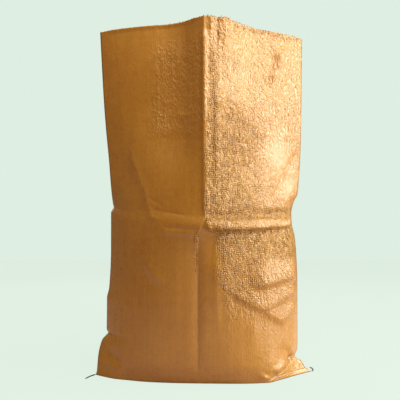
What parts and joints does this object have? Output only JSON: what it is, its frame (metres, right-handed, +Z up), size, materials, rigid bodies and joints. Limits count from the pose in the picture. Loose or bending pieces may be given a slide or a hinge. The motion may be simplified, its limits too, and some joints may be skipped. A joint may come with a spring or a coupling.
{
  "type": "woven polypropylene sack",
  "caption": "Empty woven polypropylene sack standing open on its sewn bottom, with storage creases, two bottom ears and short ends of seam thread.",
  "frame": {"origin": "on the floor, below the centre of the sack's bounding box, without the thread tails", "axes": "+Z up through the open mouth, +X along the sack's width, the front panel with the ridge crease faces -Y"},
  "size_m": [0.5831, 0.3115, 0.885],
  "materials": {
    "woven_pp": "woven tape under a clear glossy film, golden orange",
    "sewing_thread": "dull twisted thread, dark blue"
  },
  "bodies": {
    "root": {"sack_body": "woven_pp", "seam_thread": "sewing_thread", "thread_tail_left": "sewing_thread", "thread_tail_right": "sewing_thread"}
  },
  "joints": []
}
